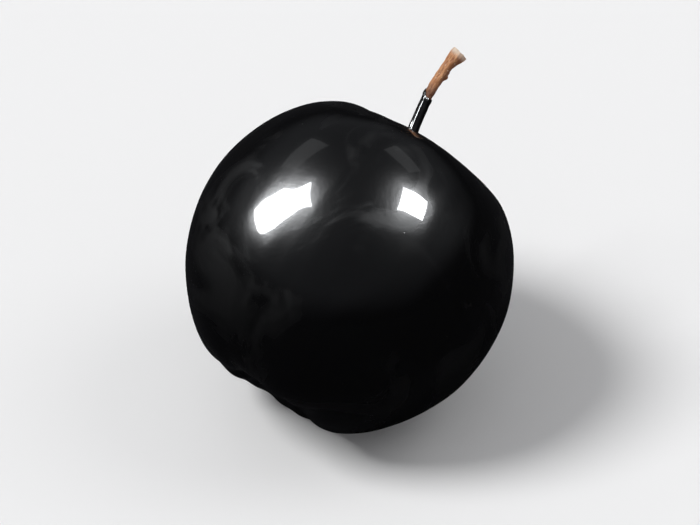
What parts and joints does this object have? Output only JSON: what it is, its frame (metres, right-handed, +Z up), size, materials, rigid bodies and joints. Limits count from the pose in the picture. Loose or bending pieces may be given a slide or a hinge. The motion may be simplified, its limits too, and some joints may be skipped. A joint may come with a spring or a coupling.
{
  "type": "wax-coated apple",
  "caption": "Whole apple dipped in glossy black wax, lying tilted on a small flat on its lower cheek, with a curved woody stem waxed halfway up.",
  "frame": {"origin": "on the small flat that the fruit rests on, straight below the middle of the fruit", "axes": "+Z up; the core leans 54 degrees from upright with the stem end up, towards +Y turned 41 degrees towards +X, and the calyx end faces down and the other way"},
  "size_m": [0.0734, 0.0741, 0.0717],
  "materials": {
    "black_wax": "hard black wax, mirror glossy, with a faint haze, dips and pimples",
    "bare_stem": "dry orange-brown bark with fine ridges, darker beside the wax, paler at the flared tip"
  },
  "bodies": {
    "root": {"waxed_fruit": "black_wax", "stem_wax_coat": "black_wax", "calyx": "black_wax", "stem": "bare_stem"}
  },
  "joints": []
}
